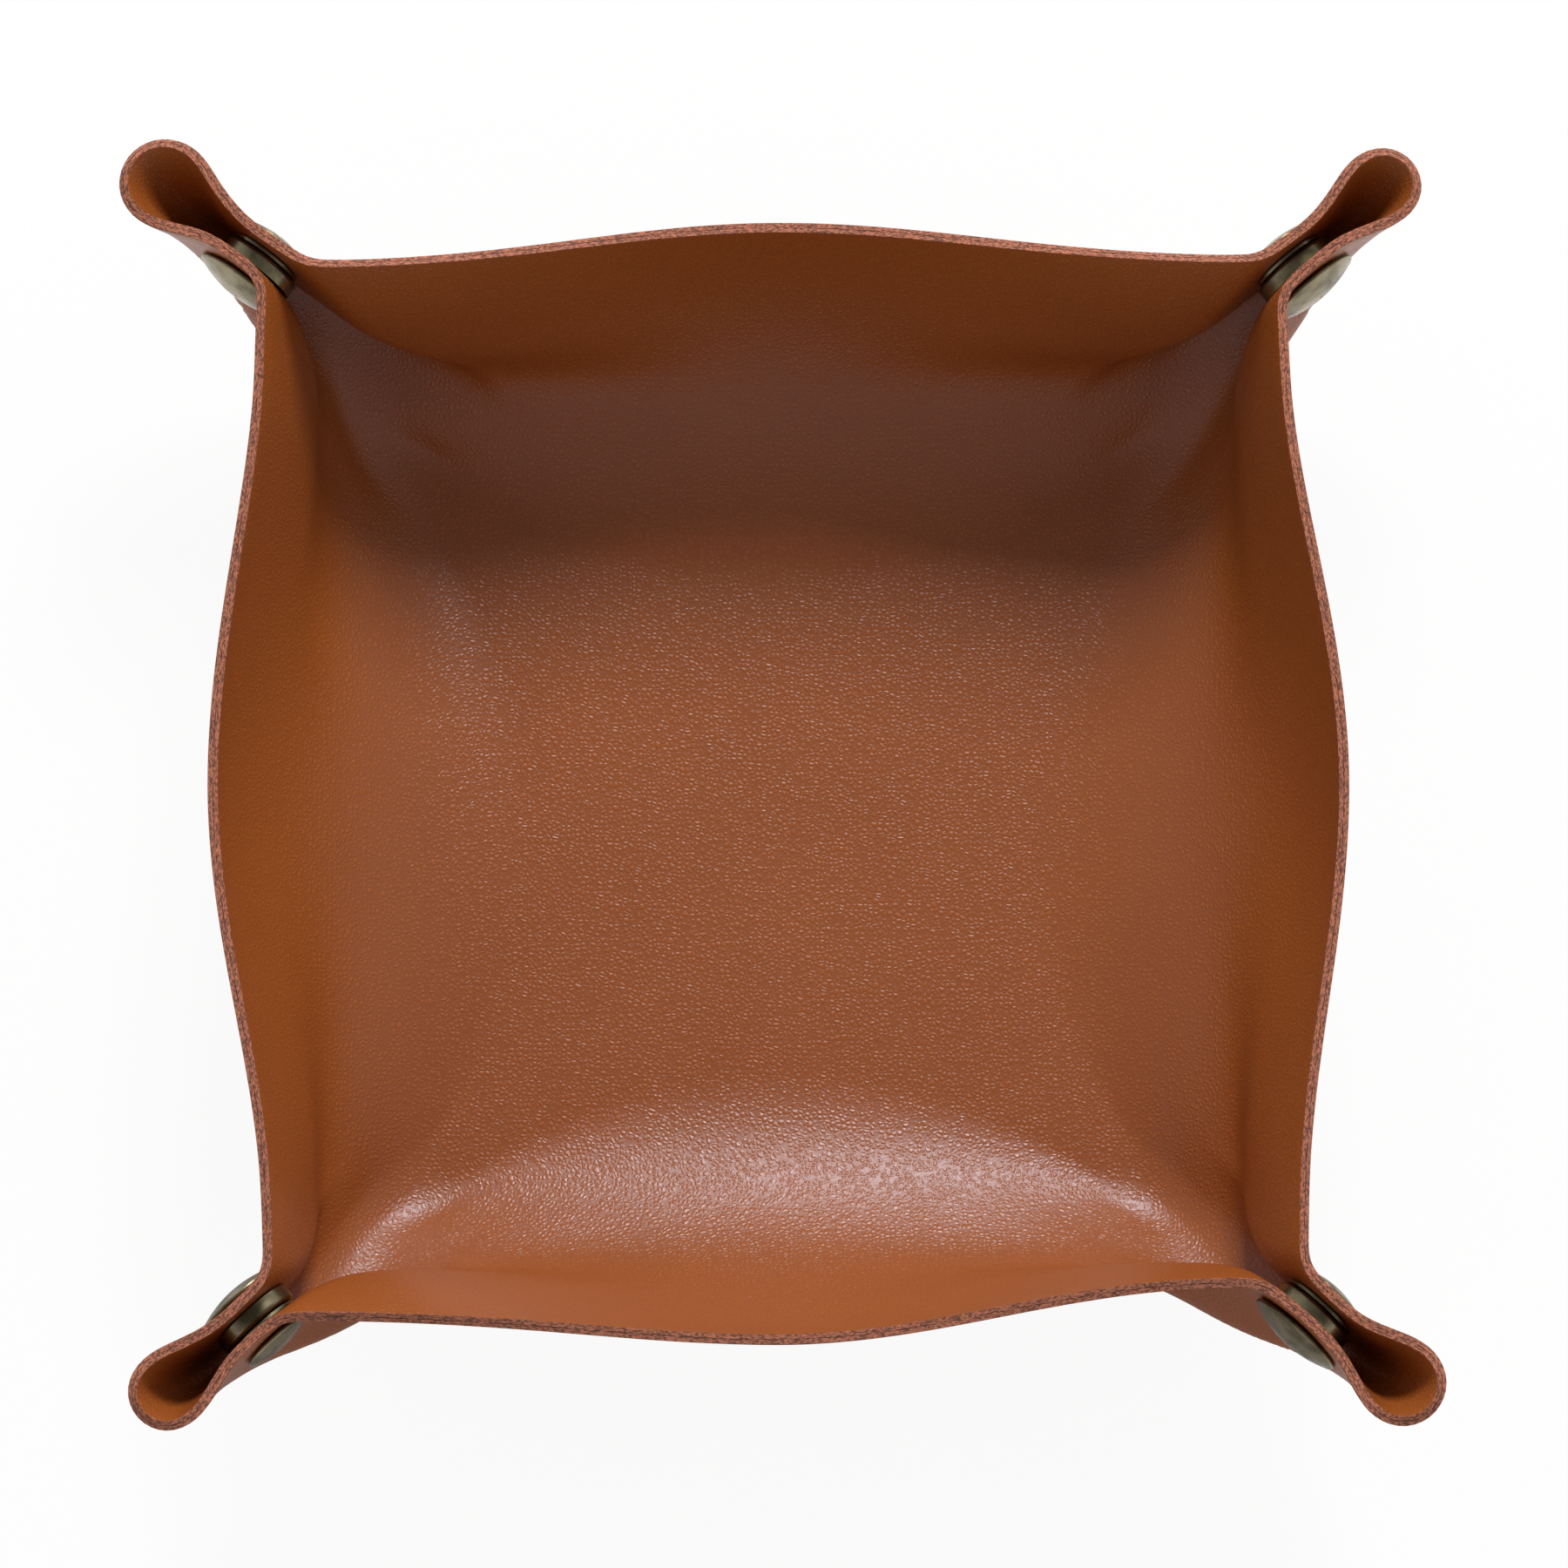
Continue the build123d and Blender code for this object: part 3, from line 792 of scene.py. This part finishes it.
def seal(bm):
    """Closes the cuts of a piece between its skin and its glue face, where a neighbour meets it."""
    flat = bm.verts.layers.float_vector["flat"]
    depth = bm.verts.layers.float["depth"]
    kind = bm.faces.layers.int["kind"]
    cut = [edge for edge in bm.edges if edge.is_boundary]
    ends = {vertex for edge in cut for vertex in edge.verts}
    twins = {tuple(vertex[flat]): vertex for vertex in ends if vertex[depth] == GLUE_DEPTH}
    for edge in cut:
        if all(vertex[depth] != GLUE_DEPTH for vertex in edge.verts):
            below = [twins[tuple(vertex[flat])] for vertex in edge.verts]
            bm.faces.new([*edge.verts, *reversed(below)])[kind] = KIND_SEAL
    bmesh.ops.recalc_face_normals(bm, faces=bm.faces)


def column(items, key, width=1, kind=float):
    """One value of every item of a mesh, or a row of them."""
    values = np.empty(len(items) * width, kind)
    items.foreach_get(key, values)
    return values if width == 1 else values.reshape(-1, width)


def corner_normals(mesh, side):
    """Each face corner's normal by what the face is, so that the seams between pieces don't show."""
    stored = mesh.attributes
    corners = column(mesh.loops, "vertex_index", kind=np.int32)
    sizes = column(mesh.polygons, "loop_total", kind=np.int32)
    kinds = np.repeat(column(stored["kind"].data, "value", kind=np.int32), sizes)
    plain = np.repeat(column(mesh.polygons, "normal", 3), sizes, axis=0)
    surface = side * column(stored["surface"].data, "vector", 3)[corners]
    found = column(stored["outward"].data, "vector", 3)[corners]
    from_glue = np.abs(column(stored["depth"].data, "value") - GLUE_DEPTH)[corners]
    skin = (kinds == KIND_SKIN) | ((kinds == KIND_ARRIS) & (from_glue > FACE_FROM_GLUE))
    found[skin] = surface[skin]
    found[kinds == KIND_GLUE] = -surface[kinds == KIND_GLUE]
    found[kinds == KIND_SEAL] = plain[kinds == KIND_SEAL]
    return found


def add_piece(bm, name, side, material):
    """An object of the faces of a ply."""
    mesh = bpy.data.meshes.new(name)
    bm.to_mesh(mesh)
    bm.free()
    mesh.shade_smooth()
    mesh.normals_split_custom_set(corner_normals(mesh, side))
    for layer in ("surface", "outward", "flat", "rim", "kind", "owner", "seam"):
        mesh.attributes.remove(mesh.attributes[layer])
    mesh.materials.append(material)
    return add_object(name, mesh)


def part_of(bm, wanted):
    """A copy of a mesh with only the faces whose owner is wanted."""
    part = bm.copy()
    owner = part.faces.layers.int["owner"]
    others = [face for face in part.faces if not wanted(face[owner])]
    bmesh.ops.delete(part, geom=others, context="FACES")
    return part


def make_leather(name, node, side, slot):
    """One ply: a piece that stays, and at each corner a tip and a wall that bend with the cap."""
    leather = settings("leather")
    material = leather_finish(slot)
    bm, bends = make_ply(leather, side)
    ears = part_of(bm, lambda owner: owner > 0)
    rest = part_of(bm, lambda owner: owner == 0)
    bm.free()
    seal(rest)
    made = [add_piece(rest, name, side, material)]
    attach(made[0], "root")
    for number, bend in enumerate(bends):
        for place, slope, own in (
            ("wall", bend.wall_slope, wall_owner(number)),
            ("tip", bend.tip_slope, tip_owner(number)),
        ):
            part = part_of(ears, lambda owner: owner == own)
            seal(part)
            made.append(add_piece(part, f"{name}_{bend.name}_{place}", side, material))
            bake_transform(made[-1], "root", f"snap_{bend.name}", *bend.ends(slope))
    ears.free()
    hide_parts(node)
    if any(not piece.data.polygons for piece in made):
        raise RuntimeError(f"{name} has an empty piece")
    return made


# Stage


def camera_matrix(stage):
    """The camera's place and turn: tilted from straight above towards the front, then rolled."""
    up = Vector((0, cos(stage.tilt), sin(stage.tilt)))
    back = Vector((0, -sin(stage.tilt), cos(stage.tilt)))
    right = Vector((1, 0, 0))
    rolled_right = right * cos(stage.roll) + up * sin(stage.roll)
    rolled_up = up * cos(stage.roll) - right * sin(stage.roll)
    turn = Matrix((rolled_right, rolled_up, back)).transposed().to_4x4()
    return Matrix.Translation(Vector(stage.aim) + back * stage.distance) @ turn


def make_key(stage):
    """A square soft light behind the tray, a little to the right."""
    turn, rise = stage.key_turn, stage.key_elevation
    way = Vector((sin(turn) * cos(rise), cos(turn) * cos(rise), sin(rise)))
    light = bpy.data.lights.new("key", "AREA")
    light.shape = "SQUARE"
    light.size = stage.key_size
    light.energy = stage.key_power
    key = add_object("key", light)
    turned = way.to_track_quat("Z", "Y").to_matrix().to_4x4()
    key.matrix_world = Matrix.Translation(way * stage.key_distance) @ turned
    return key


def make_floor(stage):
    """A pale floor that takes the tray's shadow, lifted towards white where the camera sees it."""
    bm = bmesh.new()
    bmesh.ops.create_grid(bm, x_segments=1, y_segments=1, size=stage.floor_half)
    mesh = bpy.data.meshes.new("floor")
    bm.to_mesh(mesh)
    bm.free()
    finish = Finish("floor")
    shaded = finish.node("ShaderNodeBsdfDiffuse", None, {"Color": stage.floor_colour})
    glow = finish.node("ShaderNodeEmission", None, {"Color": WHITE, "Strength": 1})
    pale = finish.mix_shader(stage.floor_glow, shaded, glow)
    surface = finish.nodes["Material Output"].inputs["Surface"]
    finish.put(surface, finish.mix_shader(finish.seen(), shaded, pale))
    mesh.materials.append(finish.material)
    return add_object("floor", mesh)


def make_world(stage):
    """Light from all round, brightest at the horizon, and plain white to the camera."""
    world = bpy.data.worlds.new("world")
    tree = Tree(world)
    way = tree.node("ShaderNodeTexCoord", output="Generated")
    rise = tree.node("ShaderNodeSeparateXYZ", None, [way], output="Z")
    levels = {"Value": rise, "To Min": stage.horizon_level, "To Max": stage.zenith_level}
    graded = tree.nodes["Background"]
    tree.put(graded.inputs["Color"], WHITE)
    tree.put(graded.inputs["Strength"], tree.node("ShaderNodeMapRange", None, levels))
    plain = tree.node("ShaderNodeBackground", None, {"Color": WHITE})
    whole = tree.mix_shader(tree.seen(), Value(tree, graded.outputs[0]), plain)
    tree.put(tree.nodes["World Output"].inputs["Surface"], whole)
    bpy.context.scene.world = world


# Operators


class SNAPTRAY_OT_leather(bpy.types.Operator):
    """Fold the two plies of the sheet and fit their leather"""

    bl_idname = "snaptray.leather"
    bl_label = "Leather"

    def execute(self, context):
        make_leather("lining", "inner_leather", 1, "lining_leather")
        make_leather("underside", "outer_leather", -1, "underside_leather")
        return {"FINISHED"}


class SNAPTRAY_OT_snaps(bpy.types.Operator):
    """Finish the snaps' heads, sockets and studs in brass and their springs in steel"""

    bl_idname = "snaptray.snaps"
    bl_label = "Snaps"

    def execute(self, context):
        finishes = {"antique_brass": brass_finish(), "spring_wire": wire_finish()}
        for name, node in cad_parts.items():
            if name.endswith("leather"):
                continue
            slot = "spring_wire" if name.startswith("ring_spring") else "antique_brass"
            node.data.materials.clear()
            node.data.materials.append(finishes[slot])
        return {"FINISHED"}


class SNAPTRAY_OT_stage(bpy.types.Operator):
    """Set the floor, the light and the camera"""

    bl_idname = "snaptray.stage"
    bl_label = "Stage"

    def execute(self, context):
        stage = settings("stage")
        make_world(stage)
        floor = make_floor(stage)
        key = make_key(stage)
        lens = bpy.data.cameras.new("camera")
        lens.lens = stage.focal
        camera = add_object("camera", lens)
        camera.matrix_world = camera_matrix(stage)
        context.scene.camera = camera
        context.scene.view_settings.view_transform = "Standard"
        return {"FINISHED"}


class SNAPTRAY_PT_panel(bpy.types.Panel):
    """Snap tray"""

    bl_idname = "SNAPTRAY_PT_panel"
    bl_label = "Snap tray"
    bl_space_type = "VIEW_3D"
    bl_region_type = "UI"
    bl_category = "Snap tray"

    def draw(self, context):
        for kind, operator in PANEL_ROWS.items():
            box = self.layout.box()
            for name in getattr(context.scene, kind).bl_rna.properties.keys():
                if name not in ("name", "rna_type"):
                    box.prop(getattr(context.scene, kind), name)
            box.operator(operator)


PANEL_ROWS = {"leather": "snaptray.leather", "snap": "snaptray.snaps", "stage": "snaptray.stage"}
GROUPS = {"leather": LeatherSettings, "snap": SnapSettings, "stage": StageSettings}
CLASSES = (
    *GROUPS.values(),
    SNAPTRAY_OT_leather,
    SNAPTRAY_OT_snaps,
    SNAPTRAY_OT_stage,
    SNAPTRAY_PT_panel,
)


def register():
    for kind in CLASSES:
        bpy.utils.register_class(kind)
    for name, kind in GROUPS.items():
        setattr(bpy.types.Scene, name, PointerProperty(type=kind))


def unregister():
    for name in GROUPS:
        delattr(bpy.types.Scene, name)
    for kind in reversed(CLASSES):
        bpy.utils.unregister_class(kind)


def main():
    register()
    bpy.ops.snaptray.leather()
    bpy.ops.snaptray.snaps()
    bpy.ops.snaptray.stage()


if __name__ == "__main__":
    main()
